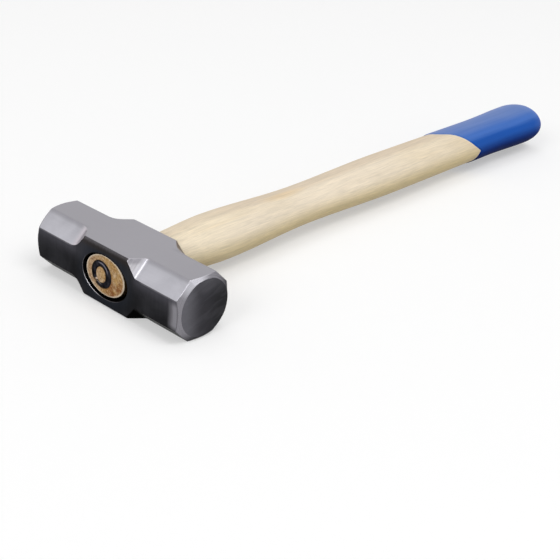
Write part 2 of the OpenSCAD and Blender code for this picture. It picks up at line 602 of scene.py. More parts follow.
class Coat(Graph):
    """The graph of one material, whose colour is laid on in layers that follow named measures."""

    def __init__(self, name: str, effects: Effects) -> None:
        """Starts a material with one Principled shader.

        Args:
            name: Name of the material.
            effects: Shared node groups.
        """
        self.material = bpy.data.materials.new(name)
        self.material.use_nodes = True
        self.material.node_tree.nodes.clear()
        super().__init__(self.material.node_tree)
        self.effects = effects
        self.shader = self.node("ShaderNodeBsdfPrincipled")
        self.node("ShaderNodeOutputMaterial", {"Surface": self.shader.outputs["BSDF"]})
        self.metres = self.node("ShaderNodeTexCoord").outputs["Object"]
        self.place = self.vector_maths("MULTIPLY", self.metres, (1 / MM,) * 3)
        x, y, z = self.node("ShaderNodeSeparateXYZ", {0: self.place}).outputs
        height = self.maths("SUBTRACT", z, AXIS_HEIGHT)
        self.given: dict[str, Value] = {"x": x, "y": y, "z": z, "height": height}

    def prune(self) -> None:
        """Removes the nodes whose results nothing uses."""
        while idle := [
            n for n in self.tree.nodes if n.outputs and not any(o.links for o in n.outputs)
        ]:
            for node in idle:
                self.tree.nodes.remove(node)

    def group(self, tree: bpy.types.NodeTree, **inputs: Value) -> Any:
        """The outputs of a node group whose inputs are given by name."""
        return self.node("ShaderNodeGroup", inputs, node_tree=tree).outputs

    def streak(self, stretch: Point, place: Value = None) -> None:
        """Gives the broad and the fine lines that are drawn out along an axis."""
        lines = self.group(self.effects.streaks, Vector=place or self.metres, Stretch=stretch)
        self.given.update(broad=lines["Broad"], fine=lines["Fine"])

    def mottle(self, scale: float, low: float = 0.35, high: float = 0.65) -> Socket:
        """The mask of soft patches."""
        inputs = {"Vector": self.metres, "Scale": scale, "Low": low, "High": high}
        return self.group(self.effects.mottle, **inputs)["Mask"]

    def drawn(self, place: Value, stretch: Point, **looks: float) -> Socket:
        """Noise that is drawn out along the axes where it is stretched least."""
        return self.noise(self.vector_maths("MULTIPLY", place, stretch), 1.0, **looks)

    def about(self, centre: Pair, half: Pair = (1.0, 1.0)) -> list[Socket]:
        """X and Z counted from a centre, in half sizes of an oval."""
        spans = zip((self.given["x"], self.given["z"]), centre, half)
        return [self.maths("DIVIDE", self.maths("SUBTRACT", at, c), h) for at, c, h in spans]

    def polar(self, first: Value, second: Value) -> tuple[Socket, Socket]:
        """Length and direction of the vector that two coordinates make."""
        around = self.node("ShaderNodeCombineXYZ", {0: first, 1: second}).outputs[0]
        return self.vector_maths("LENGTH", around), self.vector_maths("NORMALIZE", around)

    def facing(self, heading: Value, turn: float) -> Socket:
        """How far a direction faces a turn, from -1 to 1."""
        a = math.radians(turn)
        return self.vector_maths("DOT_PRODUCT", heading, (math.cos(a), math.sin(a), 0.0))

    def share(self, part: Share) -> Value:
        """What a share comes to.

        Args:
            part: A ramp, the name of a measure, or a constant.

        Returns:
            A socket, or the constant.
        """
        if not isinstance(part, Ramp):
            return self.given[part] if isinstance(part, str) else part
        value = self.given[part.measure]
        if part.at is not None:
            value = self.maths("ABSOLUTE", self.maths("SUBTRACT", value, part.at))
        return self.step(value, part.start, part.full, part.least, part.most)

    def product(self, parts: Sequence[Share]) -> Value:
        """The product of some shares."""
        return reduce(self.both, map(self.share, parts))

    def largest(self, *shares: Value) -> Value:
        """The largest of some shares."""
        return reduce(lambda a, b: self.maths("MAXIMUM", a, b), shares)

    def paint(self, colour: Value, layers: Layers) -> Value:
        """Lays layers over a colour.

        Args:
            colour: A tone or a socket.
            layers: The layers in order.

        Returns:
            The painted colour.
        """
        for layer in layers:
            if isinstance(layer, Tint):
                value = self.share(layer.share)
                tinted = self.group(
                    self.effects.tint, Color=colour, Value=value, Amount=layer.amount
                )
                colour = tinted["Color"]
            else:
                tone, *shares = layer
                colour = self.blend(self.product(shares), colour, self.given.get(tone, tone))
        return colour


# ---------------------------------------------------------------- finishes


@dataclass(frozen=True)
class RingShape:
    """Outline of the ring wedge: round outside, with an oval hole off its middle."""

    centre: Pair = (-4.05, 20.1)
    outer: float = 8.8
    hole: float = 4.75
    shift: Pair = (-0.62, -0.44)
    stretch: float = 0.46

    def inner(self, turn: float) -> float:
        """Radius of the hole.

        Args:
            turn: Where round the ring, from +X towards +Z.

        Returns:
            The radius.
        """
        a = math.radians(turn)
        drift = self.shift[0] * math.cos(a) + self.shift[1] * math.sin(a)
        return self.hole + drift - self.stretch * math.cos(2 * a)


@dataclass(frozen=True)
class Finish:
    """What every finish has: its layers, and plain values of its shader.

    Gloss is the roughness at both ends of the gloss span, relief is the depth of the bump, and
    follows names the measures that they follow.
    """

    name: str
    tone: Tone = Tone.CHEEK
    masks: Masks = ()
    layers: Layers = (Tint("broad", 0.1), Tint("fine", 0.07))
    stretch: Point = (40.0, 900.0, 900.0)
    patch_scale: float = 0.0
    follows: tuple[str, str] = ("broad", "fine")
    gloss: Pair = (0.32, 0.40)
    gloss_span: Pair = (0.2, 0.8)
    relief: float = 0.01
    metallic: float = 1.0
    specular: float = 0.5
    edge_tint: float = 1.0

    def measure(self, coat: Coat) -> None:
        """Gives the coat what the layers follow: here streaks, and patches where they have a scale.

        Args:
            coat: The material's graph.
        """
        coat.streak(self.stretch)
        if self.patch_scale:
            coat.given["patches"] = coat.mottle(self.patch_scale)

    def material(self, effects: Effects) -> bpy.types.Material:
        """Makes the material.

        Args:
            effects: Shared node groups.

        Returns:
            The finished material.
        """
        coat = Coat(self.name, effects)
        self.measure(coat)
        for mask, products in self.masks:
            coat.given[mask] = coat.largest(*map(coat.product, products))
        gloss, relief = (coat.given[name] for name in self.follows)
        raised = {"Height": relief, "Distance": self.relief * MM, "Strength": 1.0}
        values = {
            "Base Color": coat.paint(self.tone, self.layers),
            "Roughness": coat.step(gloss, *self.gloss_span, *self.gloss),
            "Normal": coat.node("ShaderNodeBump", raised).outputs["Normal"],
            "Metallic": self.metallic,
            "Specular IOR Level": self.specular,
            "Specular Tint": (self.edge_tint,) * 3 + (1.0,),
        }
        for name, value in values.items():
            coat.feed(coat.shader.inputs[name], value)
        coat.prune()
        return coat.material


@dataclass(frozen=True)
class GroundCheek(Finish):
    """Cheek ground along the head, deeper towards -X, with painted shade along its creases."""

    patch_scale: float = 70.0
    masks: Masks = (("drifted", (("patches", 0.2), (Ramp("x", 30.0, -50.0, 0.8),))),)
    layers: Layers = (
        (Tone.CHEEK_DEEP, "drifted"),
        (Tone.CHEEK_END, Ramp("x", 30.0, 60.0)),
        # painted shade along the crease between cheek and chamfer
        (Tone.CREASE, "crease", 0.45),
        Tint("broad", 0.1),
        Tint("fine", 0.07),
    )

    def measure(self, coat: Coat) -> None:
        """Gives the crease, where shade is painted, too.

        Args:
            coat: The material's graph.
        """
        super().measure(coat)
        creases = coat.group(coat.effects.creases, Along=coat.given["x"], Across=coat.given["y"])
        coat.given["crease"] = creases["Mask"]


@dataclass(frozen=True)
class GroundChamfer(GroundCheek):
    """Ground chamfers, bright above and painted near-black on the lower side as painted shade.

    The steeper facet towards +X has slanting file marks over painted light and shade, and painted
    highlights along its foot; the run-out towards -X is painted lighter, and the back run-outs
    carry a painted reflection of the wood.
    """

    edge_tint: float = 0.5
    tone: Tone = Tone.GROUND
    masks: Masks = (("lined", ((Ramp("z", 38.5, 35.5, 1.0, 0.3),),)),)
    layers: Layers = (
        (Tone.GROUND_DEEP, "patches"),
        # painted shade along the crease
        (Tone.CREASE, "crease", 0.6),
        Tint("broad", 0.1),
        Tint("fine", 0.07),
        # painted lighter towards the chamfer's lower edge
        Tint(Ramp("z", 40.0, 31.0), 0.1),
        # painted light on the run-out towards -X
        (Tone.RUN_OUT, Ramp("x", 33.0, 27.0, at=0.0), Ramp("x", 0.0, -10.0)),
        # painted light and shade of the steeper facet
        ("steep", Ramp("x", 26.2, 24.6), Ramp("x", 0.0, 10.0)),
        # painted highlights along the steeper facet's foot
        (Tone.GLINT, Ramp("x", 0.9, 0.18, 0.36, at=25.1), "lined"),
        (Tone.STEEP, Ramp("x", 0.4, 0.08, 0.4, at=26.1), "lined"),
        (Tone.GLINT, Ramp("x", 1.6, 0.32, 0.22, at=27.3), "lined"),
        # painted reflection of the wood in the back run-outs
        (Tone.STEEP_BACK, Ramp("x", 28.5, 26.0, at=0.0), Ramp("y", 0.0, 4.0)),
        # painted shade: near-black on the lower side
        (Tone.BORE, Ramp("z", 21.0, 17.0)),
    )
    marks: Point = (1500.0, 160.0, 160.0)
    steep: Layers = (
        # painted shade towards the top
        (Tone.STEEP_TOP, Ramp("z", 29.0, 35.0)),
        # painted shade towards the steeper facet's top edge
        (Tone.CREASE, Ramp("z", 36.2, 38.4, 0.8)),
        Tint("marks", 0.7),
    )

    def measure(self, coat: Coat) -> None:
        """Gives the steeper facet's painted light and shade too.

        Args:
            coat: The material's graph.
        """
        super().measure(coat)
        coat.given["marks"] = coat.drawn(coat.metres, self.marks)
        coat.given["steep"] = coat.paint(Tone.STEEP, self.steep)


@dataclass(frozen=True)
class TurnedBevel(Finish):
    """Turned bevel with a painted reflection: painted highlight and sheen towards one side, painted
    dark on the others.
    """

    tone: Tone = Tone.OXIDE
    follows: tuple[str, str] = ("turned", "turned")
    gloss: Pair = (0.24, 0.34)
    edge_tint: float = 0.5
    turns: tuple[tuple[str, float], ...] = (("bright", 112.0), ("rubbed", 136.0), ("handled", 80.0))
    rings: Point = (2.6, 3.0, 1.0)
    slant: float = 2 / 3
    brink: Ramp = Ramp("out", 19.5, 19.85)
    layers: Layers = (
        # painted sheen where the bevel faces turn 136
        (Tone.WORN, Ramp("rubbed", -0.52, 0.22)),
        # painted highlight where it faces turn 112
        (Tone.GROUND, Ramp("bright", 0.8, 1.0)),
        # painted highlight along the brink
        (Tone.GLINT, Ramp("handled", 0.1, 0.35, 0.3), "brink"),
        # painted dark on the brink at the front and on the bevel towards -X
        (Tone.OXIDE, Ramp("y", -17.0, -18.5, 0.5), "brink"),
        (Tone.OXIDE, Ramp("x", 0.0, -10.0, 0.55)),
        Tint("turned", 0.22),
    )

    def measure(self, coat: Coat) -> None:
        """Gives how far it faces some turns, its turned rings, and its brink, which gets a painted
        highlight.

        Args:
            coat: The material's graph.
        """
        y, height = coat.given["y"], coat.given["height"]
        radius, heading = coat.polar(y, height)
        coat.given.update({name: coat.facing(heading, turn) for name, turn in self.turns})
        around = coat.node("ShaderNodeCombineXYZ", {0: radius, 1: coat.given["bright"]}).outputs[0]
        sides = [coat.maths("ABSOLUTE", side) for side in (y, height)]
        coat.given["out"] = coat.largest(*sides, coat.both(coat.maths("ADD", *sides), self.slant))
        coat.given.update(turned=coat.drawn(around, self.rings), brink=coat.share(self.brink))


@dataclass(frozen=True)
class OilBlack(Finish):
    """Near-black steel, a painted reflection of a dark surround, with painted light towards its top
    and ends, and wear with painted sheen along its upper edges and at one end.
    """

    tone: Tone = Tone.OXIDE
    stretch: Point = (700.0, 700.0, 60.0)
    patch_scale: float = 55.0
    follows: tuple[str, str] = ("fine", "fine")
    gloss: Pair = (0.36, 0.46)
    relief: float = 0.015
    edge_tint: float = 0.5
    rise: Pair = (16.0, 27.5)
    rise_power: float = 2.6
    eye: Point = (0.0, -20.0, 20.0)
    speck_scale: float = 900.0
    speck_shift: float = 1.6
    rag_shift: float = 2.4
    masks: Masks = (
        ("block", ((Ramp("x", 26.0, 19.0, at=0.0),),)),
        # where painted light on the dark faces reaches
        ("raised", ((Ramp("x", 22.0, 30.0, at=0.0),), (Ramp("x", 0.0, -16.0, 0.55),))),
        (
            # wear along the block's top edge, and painted sheen near the +X end
            "worn",
            (
                (Ramp("ragged", 55.7, 62.7), Ramp("z", 9.5, 5.5, 1.0, 0.25, at=19.5)),
                (Ramp("specked", 38.0, 41.6, 0.32), "block"),
                (Ramp("z", 28.4, 29.6, 0.5), Ramp("x", 29.0, 34.0, at=0.0)),
            ),
        ),
    )
    layers: Layers = (
        (Tone.OXIDE_DEEP, "patches"),
        # painted light towards the top and the ends
        (Tone.OXIDE_LIGHT, "rise", "raised"),
        (Tone.OXIDE_BLUE, Ramp("reach", 29.0, 14.0, 0.8)),
        (Tone.OXIDE_BROWN, Ramp("z", 33.5, 37.5, 0.5), "block"),
        # wear and painted sheen
        (Tone.WORN, "worn"),
        Tint("broad", 0.45),
    )

    def measure(self, coat: Coat) -> None:
        """Gives the rise of the light, the reach from the eye, and ragged measures of X and Z.

        Args:
            coat: The material's graph.
        """
        super().measure(coat)
        x, z = coat.given["x"], coat.given["z"]
        limits = {"Value": z, "From Min": self.rise[0], "From Max": self.rise[1]}
        rise = coat.node("ShaderNodeMapRange", limits).outputs["Result"]
        speck = coat.noise(coat.metres, self.speck_scale, Roughness=0.6)
        coat.given.update(
            rise=coat.maths("POWER", rise, self.rise_power),
            reach=coat.vector_maths("LENGTH", coat.vector_maths("SUBTRACT", coat.place, self.eye)),
            specked=coat.maths("MULTIPLY_ADD", speck, self.speck_shift, z),
            ragged=coat.maths("MULTIPLY_ADD", coat.given["broad"], self.rag_shift, x),
        )


@dataclass(frozen=True)
class StruckSteel(Finish):
    """Dark striking face with slanting brush lines, painted lighter towards one side and painted
    darker towards the back.
    """

    tone: Tone = Tone.STRUCK
    stretch: Point = (300.0, 120.0, 1700.0)
    follows: tuple[str, str] = ("broad", "broad")
    gloss: Pair = (0.34, 0.46)
    relief: float = 0.02
    slant: float = 17.0
    wide: Point = (100.0, 70.0, 260.0)
    wide_share: float = 0.12
    sides: tuple[Ramp, Ramp] = (Ramp("y", 0.0, -17.0), Ramp("z", 25.0, 37.0, 0.4))
    layers: Layers = (
        # painted shade towards the back
        (Tone.STRUCK_DEEP, Ramp("y", -2.0, 14.0)),
        # painted light towards the front and the top
        (Tone.STRUCK_LIGHT, "light"),
        Tint("broad", 0.38),
        Tint("fine", 0.42),
    )

    def measure(self, coat: Coat) -> None:
        """Gives slanting streaks, and where light is painted on the face.

        Args:
            coat: The material's graph.
        """
        turn = (math.radians(-self.slant), 0.0, 0.0)
        mapping = coat.node("ShaderNodeMapping", {"Vector": coat.metres, "Rotation": turn})
        turned = mapping.outputs[0]
        coat.streak(self.stretch, turned)
        coat.given["wide"] = coat.drawn(
            turned, self.wide, Detail=3.0, Roughness=0.55, Distortion=0.3
        )
        wide = coat.share(Ramp("wide", 0.42, 0.66))
        light = coat.largest(*map(coat.share, self.sides))
        coat.given["light"] = coat.maths(
            "MULTIPLY_ADD", wide, self.wide_share, light, use_clamp=True
        )


@dataclass(frozen=True)
class PaleWood(Finish):
    """Straight-grained pale ash, sanded and unvarnished, with painted shade on its -X side and
    inside the eye, painted light on its low side, and a painted highlight by the paint's edge.
    """

    tone: Tone = Tone.WOOD
    stretch: Point = (480.0, 20.0, 480.0)
    gloss: Pair = (0.46, 0.6)
    relief: float = 0.06
    metallic: float = 0.0
    specular: float = 0.2
    drift: Point = (26.0, 7.0, 26.0)
    bands: Point = (60.0, 3.2, 60.0)
    heart_place: Point = (0.002, 0.135, 0.033)
    heart_shape: Point = (190.0, 34.0, 120.0)
    layers: Layers = (
        (Tone.WOOD_PALE, Ramp("drift", 0.35, 0.65)),
        (Tone.WOOD_WARM, Ramp("bands", 0.52, 0.72, 0.55)),
        # painted shade on the -X side
        (Tone.WOOD_TOP, Ramp("x", 6.5, -1.0, 0.8)),
        # painted light on the low side
        (Tone.WOOD_LOW, Ramp("height", 9.0, -4.0, 0.9)),
        # paler between 55 and 105 mm along the handle
        (Tone.WOOD_FRESH, Ramp("y", 105.0, 55.0, 0.2)),
        (Tone.WOOD_WARM, Ramp("heart", 1.0, 0.2, 0.4)),
        (Tone.WOOD_DARK, Ramp("height", 1.0, -9.0, 0.5), Ramp("y", 70.0, 20.0)),
        Tint("broad", 0.34),
        Tint("fine", 0.44),
        # painted highlight along the paint's edge
        (Tone.WOOD_PALE, Ramp("paint", 1.5 * MM, 0.7 * MM, 0.8)),
        # painted shadow inside the eye
        (Tone.WOOD_HIDDEN, Ramp("y", -6.0, -13.0)),
    )

    def measure(self, coat: Coat) -> None:
        """Gives streaks, drifting tones, a faint streak of heartwood and the paint's distance.

        Args:
            coat: The material's graph.
        """
        coat.streak(self.stretch)
        heart = coat.vector_maths("SUBTRACT", coat.metres, self.heart_place)
        coat.given.update(
            drift=coat.drawn(coat.metres, self.drift, Distortion=0.2),
            bands=coat.drawn(coat.metres, self.bands, Detail=3.0, Distortion=0.3),
            heart=coat.vector_maths(
                "LENGTH", coat.vector_maths("MULTIPLY", heart, self.heart_shape)
            ),
            paint=coat.node("ShaderNodeAttribute", attribute_name=PAINT_GAP).outputs["Fac"],
        )


@dataclass(frozen=True)
class EndGrain(Finish):
    """Cut end of the tenon: open pores, oil stains and painted shadow round the ring wedge."""

    tone: Tone = Tone.END_LEFT
    follows: tuple[str, str] = ("pores", "pores")
    gloss: Pair = (0.6, 0.8)
    relief: float = 0.12
    metallic: float = 0.0
    specular: float = 0.3
    ring: RingShape = RingShape()
    lap_turn: float = 224.0
    soot_reach: float = 0.75
    centre: Pair = (-0.7, 20.4)
    half: Pair = (17.5, 13.2)
    pore_scale: float = 720.0
    blotch: Point = (230.0, 0.4, 0.66)
    stain: Point = (150.0, 0.36, 0.54)
    low: tuple[Ramp, Ramp] = (Ramp("x", -6.0, 8.0), Ramp("z", 25.0, 14.0))
    stain_shares: Pair = (0.15, 1.0)
    layers: Layers = (
        (Tone.END_GRAIN, Ramp("x", -13.0, 2.0)),
        (Tone.END_PALE, "blotch", 0.45),
        (Tone.END_BROWN, "stain", "stained"),
        (Tone.END_PALE, Ramp("pores", 0.53, 0.68, 0.5)),
        (Tone.END_BROWN, Ramp("pores", 0.48, 0.33, 0.65)),
        (Tone.WOOD_PALE, Ramp("rim", 0.9, 0.98, 0.8)),
        # painted shadow round the ring wedge, fainter at the lap
        (Tone.SOOT, "soot", Ramp("lap", 0.98, 0.994, 0.35, 1.0)),
        Tint("pores", 0.9),
    )

    def measure(self, coat: Coat) -> None:
        """Gives pores, stains, the place on the oval end, and the painted shadow round the ring
        wedge, fainter at the lap.

        Args:
            coat: The material's graph.
        """
        least, most = self.stain_shares
        radius, heading = coat.polar(*coat.about(self.ring.centre))
        coat.given.update(
            pores=coat.noise(coat.metres, self.pore_scale, Detail=3.0, Roughness=0.7),
            blotch=coat.mottle(*self.blotch),
            stain=coat.mottle(*self.stain),
            stained=coat.maths("MULTIPLY_ADD", coat.product(self.low), most - least, least),
            rim=coat.polar(*coat.about(self.centre, self.half))[0],
            radius=radius,
            lap=coat.facing(heading, self.lap_turn),
        )
        coat.given["soot"] = coat.share(
            Ramp("radius", self.soot_reach, 0.15, 0.9, at=self.ring.outer)
        )


@dataclass(frozen=True)
class DippedPaint(Finish):
    """Thick satin enamel over wood whose grain shows through faintly, with painted shade on its low
    side and painted sheen on its top.
    """

    tone: Tone = Tone.PAINT
    stretch: Point = (260.0, 9.0, 260.0)
    patch_scale: float = 35.0
    follows: tuple[str, str] = ("height", "broad")
    gloss: Pair = (0.38, 0.7)
    gloss_span: Pair = (6.0, -4.0)
    relief: float = 0.05
    metallic: float = 0.0
    specular: float = 0.06
    rag_shift: float = 3.0
    # where the painted sheen lies on the top
    masks: Masks = (("chalk", ((Ramp("ragged", 13.2, 16.8),), (Ramp("x", 3.0, -7.0),))),)
    layers: Layers = (
        # painted shade on the low side
        (Tone.PAINT_DEEP, Ramp("ragged", 7.5, -1.5)),
        (Tone.PAINT_NIGHT, Ramp("ragged", 0.5, -6.0)),
        # painted light towards the top
        (Tone.PAINT_LIGHT, Ramp("ragged", 9.0, 12.5)),
        # painted sheen on the top, fainter by the butt
        (
            *(Tone.PAINT_CHALK, "chalk"),
            *(Ramp("patches", 0.0, 1.0, 1.0, 0.85), Ramp("y", 436.0, 447.0, 0.3, 1.0)),
        ),
        Tint("broad", 0.22),
    )

    def measure(self, coat: Coat) -> None:
        """Gives a ragged height too.

        Args:
            coat: The material's graph.
        """
        super().measure(coat)
        ragged = coat.maths(
            "MULTIPLY_ADD", coat.given["broad"], self.rag_shift, coat.given["height"]
        )
        coat.given["ragged"] = ragged


@dataclass(frozen=True)
class WedgeSteel(Finish):
    """Dark rolled steel of the ring wedge, with a painted highlight along its crest and a pale
    streak at its lap; turns are in radians.
    """

    tone: Tone = Tone.WEDGE
    follows: tuple[str, str] = ("speck", "speck")
    gloss: Pair = (0.35, 0.5)
    relief: float = 0.03
    edge_tint: float = 0.5
    ring: RingShape = RingShape()
    patch_scale: float = 260.0
    speck_scale: float = 700.0
    crest: Pair = (1.2, 5.1)
    masks: Masks = (
        (
            "torn",
            (
                (*window("turn", -2.48, -2.24, 0.12), *window("radius", 5.7, 9.2, 0.4)),
                (*window("turn", -2.35, -1.7, 0.3), *window("radius", 6.6, 7.2, 0.3), 0.45),
            ),
        ),
    )
    layers: Layers = (
        (Tone.WEDGE_LIGHT, "patches", 0.12),
        # painted highlight along the ring's crest
        (Tone.WEDGE_LIGHT, *window("crest", -0.45, 0.45, 0.5), *window("turn", 0.45, 1.9, 0.6)),
        # pale streak across the lap
        (Tone.SHEARED, "torn"),
        Tint("speck", 0.4),
    )

    def measure(self, coat: Coat) -> None:
        """Gives the place round the ring, and the distance from its crest.

        Args:
            coat: The material's graph.
        """
        dx, dz = coat.about(self.ring.centre)
        turn, radius = coat.maths("ARCTAN2", dz, dx), coat.polar(dx, dz)[0]
        crest = coat.maths("SUBTRACT", radius, coat.maths("MULTIPLY_ADD", turn, *self.crest))
        speck = coat.noise(coat.metres, self.speck_scale, Detail=3.0, Roughness=0.6)
        coat.given.update(turn=turn, radius=radius, crest=crest, speck=speck)
        coat.given["patches"] = coat.mottle(self.patch_scale)


@dataclass(frozen=True)
class EyeLip(Finish):
    """Rounded rim of the eye, painted dark, with a painted sheen and a painted highlight on the
    side that faces its bright turn.
    """

    tone: Tone = Tone.OXIDE_DEEP
    follows: tuple[str, str] = ("speck", "speck")
    gloss: Pair = (0.2, 0.32)
    edge_tint: float = 0.5
    half: Pair = (20.0, 14.5)
    bright_turn: float = 227.0
    speck_scale: float = 420.0
    layers: Layers = (
        # painted sheen on the side facing the bright turn
        (Tone.WORN, Ramp("facing", -0.35, 0.5, 0.45)),
        # painted highlight
        (Tone.GLINT, Ramp("facing", 0.8, 0.97, 0.6)),
        Tint("speck", 0.8),
    )

    def measure(self, coat: Coat) -> None:
        """Gives how far the lip faces the side of its painted highlight, and speckle.

        Args:
            coat: The material's graph.
        """
        heading = coat.polar(*coat.about((0.0, AXIS_HEIGHT), self.half))[1]
        coat.given["facing"] = coat.facing(heading, self.bright_turn)
        coat.given["speck"] = coat.noise(coat.metres, self.speck_scale)


# ---------------------------------------------------------------- pieces


def run(start: Pair, end: Pair, steps: int) -> list[Pair]:
    """Points evenly from start towards end, without the end."""
    shares = [k / steps for k in range(steps)]
    return [(lerp(start[0], end[0], t), lerp(start[1], end[1], t)) for t in shares]


def dress(piece: bpy.types.Object, effects: Effects, *finishes: Finish) -> None:
    """Gives a piece its materials, one to a slot."""
    for finish in finishes:
        piece.data.materials.append(finish.material(effects))


@dataclass(frozen=True)
class ShaftLaw:
    """How the wood's oval section changes along the handle: place, half width, half thickness."""

    stations: tuple[Point, ...] = (
        (-19.0, 17.5, 13.2),
        (20.0, 17.0, 12.8),
        (72.0, 20.2, 15.2),
        (152.0, 17.1, 12.9),
        (250.0, 19.6, 14.5),
        (375.0, 19.3, 14.3),
        (432.6, 21.25, 15.2),
    )
    least_step: float = 0.5
    dome_length: float = 17.4
    dome_tapers: Pair = (4.1, 3.0)
    dome_corner: float = 2.4
    dome_power: int = 14
    lean: Pair = (-0.7, 0.4)
    lean_depth: float = 12.0

    def half_sizes(self, y: float) -> Pair:
        """Half the width and half the thickness of the wood.

        Args:
            y: Place along the handle's axis.

        Returns:
            Half the width and half the thickness.
        """
        index = max(
            (k for k in range(len(self.stations) - 1) if y >= self.stations[k][0]), default=0
        )
        near, far = self.stations[index], self.stations[index + 1]
        t = ease((y - near[0]) / (far[0] - near[0]))
        return lerp(near[1], far[1], t), lerp(near[2], far[2], t)

    def centre(self, y: float) -> Pair:
        """Where the section's centre lies, since the driven tenon leans a little at its end."""
        t = clamp((self.stations[0][0] + self.lean_depth - y) / self.lean_depth)
        return self.lean[0] * t * t, AXIS_HEIGHT + self.lean[1] * t * t

    def oval(self, y: float, grow: Pair, sides: int, leaning: bool = False) -> list[Point]:
        """One oval section.

        Args:
            y: Place along the handle's axis.
            grow: How much each half size is larger than the wood's.
            sides: Number of points.
            leaning: Whether the section follows the leaning tenon.

        Returns:
            The section's points, counted from +X towards +Z.
        """
        wide, thick = self.half_sizes(y)
        wide, thick = wide + grow[0], thick + grow[1]
        cx, cz = self.centre(y) if leaning else (0.0, AXIS_HEIGHT)
        turns = [math.tau * k / sides for k in range(sides)]
        return [(cx + wide * math.cos(a), y, cz + thick * math.sin(a)) for a in turns]

    def dome(self, steps: int, sides: int, skin: float = 0.0) -> list[list[Point]]:
        """Sections of the domed butt.

        Args:
            steps: Number of sections.
            sides: Number of points of each.
            skin: How far they lie outside the wood.

        Returns:
            The sections from the dome's start, which is left out, to its end.
        """
        made = []
        for k in range(1, steps + 1):
            t = math.sin(math.pi / 2 * (k / steps))
            corner = self.dome_corner * (1 - math.sqrt(1 - t**self.dome_power))
            wide, thick = (skin - taper * t * t - corner for taper in self.dome_tapers)
            y = self.stations[-1][0] + (self.dome_length + skin) * t
            made.append(self.oval(y, (wide, thick), sides))
        return made

    def places(self, start: float, steps: int) -> list[float]:
        """Places of sections from a start to where the dome starts.

        Args:
            start: The first place.
            steps: Number of sections between two stations.

        Returns:
            The places.
        """
        pairs = zip(self.stations, self.stations[1:])
        steady = [
            lerp(near[0], far[0], k / steps) for near, far in pairs for k in range(1, steps + 1)
        ]
        return [start, *(y for y in steady if y > start + self.least_step)]


@dataclass(frozen=True)
class DippedLine:
    """Where the paint's slanting edge lies round the wood: turn from +X towards +Z, and place."""

    places: tuple[Pair, ...] = (
        (-180.0, 321.5), (-150.0, 327.0), (-90.0, 342.0), (-45.0, 350.8), (-16.0, 352.8),
        (-5.0, 353.8), (0.0, 354.6), (5.0, 352.7), (21.0, 347.2), (38.0, 342.6), (51.0, 339.3),
        (62.0, 336.4), (72.0, 333.6), (80.0, 330.3), (87.0, 326.6), (94.0, 323.3), (103.0, 321.0),
        (112.0, 320.3), (131.0, 320.1), (180.0, 321.5),
    )

    def at(self, turn: float) -> float:
        """The edge's place along the handle.

        Args:
            turn: Where round the wood.

        Returns:
            The place.
        """
        turn = (turn + 180) % 360 - 180
        near, far = next((a, b) for a, b in zip(self.places, self.places[1:]) if turn <= b[0])
        return lerp(near[1], far[1], (turn - near[0]) / (far[0] - near[0]))


